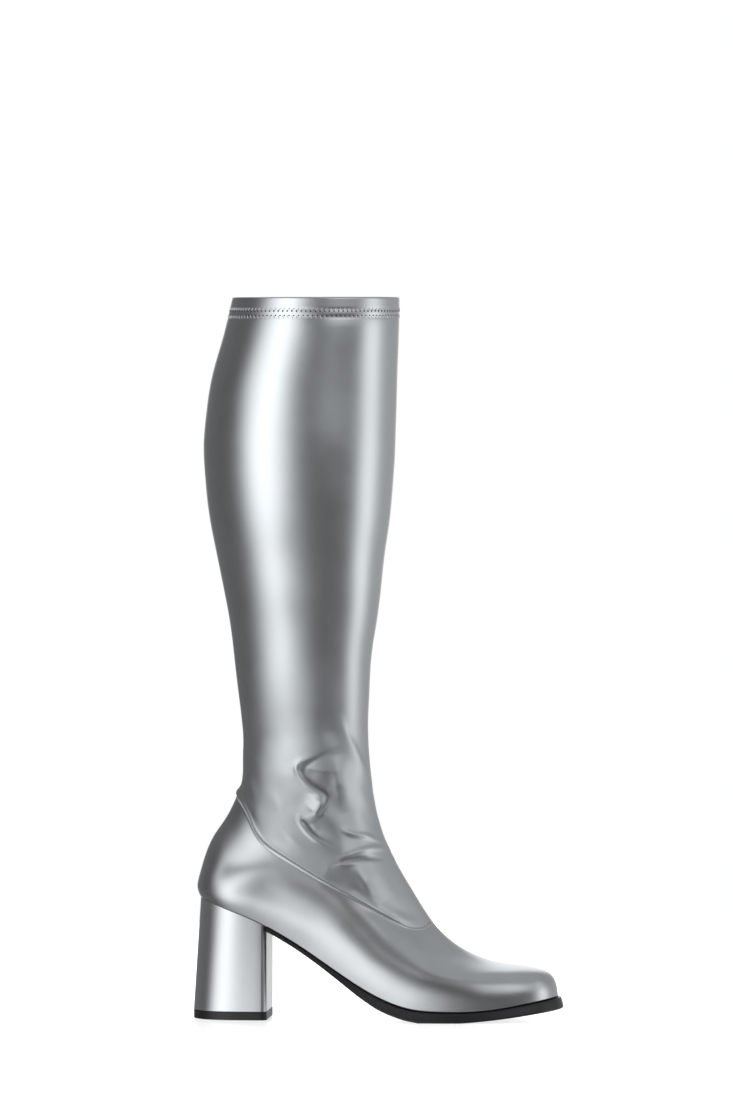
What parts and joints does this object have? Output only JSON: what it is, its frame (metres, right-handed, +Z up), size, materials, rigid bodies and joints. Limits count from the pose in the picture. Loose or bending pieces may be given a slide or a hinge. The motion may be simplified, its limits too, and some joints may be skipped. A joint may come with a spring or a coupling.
{
  "type": "go go boot",
  "caption": "Knee-high block-heel boot for the right foot: stretch shaft, one-piece foot upper, flat black sole and D-shaped wrapped heel.",
  "frame": {"origin": "on the floor, under the middle of the boot's box", "axes": "+X to the toe, +Y to the wearer's left (the inner side of this right boot), +Z up"},
  "size_m": [0.2374, 0.1084, 0.462],
  "materials": {
    "foot_silver": "silver coated imitation leather, smooth, metallic gloss",
    "shaft_silver": "silver coated stretch imitation leather, thin, metallic gloss, soft creases at the ankle",
    "insole_lining": "matt grey lining",
    "sole_black": "smooth black moulded edge, satin",
    "heel_silver": "silver wrap over a moulded block, smooth, metallic gloss",
    "top_piece_black": "black, satin"
  },
  "bodies": {
    "root": {"foot_upper": "foot_silver", "shaft": "shaft_silver", "insole": "insole_lining", "outsole": "sole_black", "heel": "heel_silver", "heel_top_piece": "top_piece_black"}
  },
  "joints": []
}
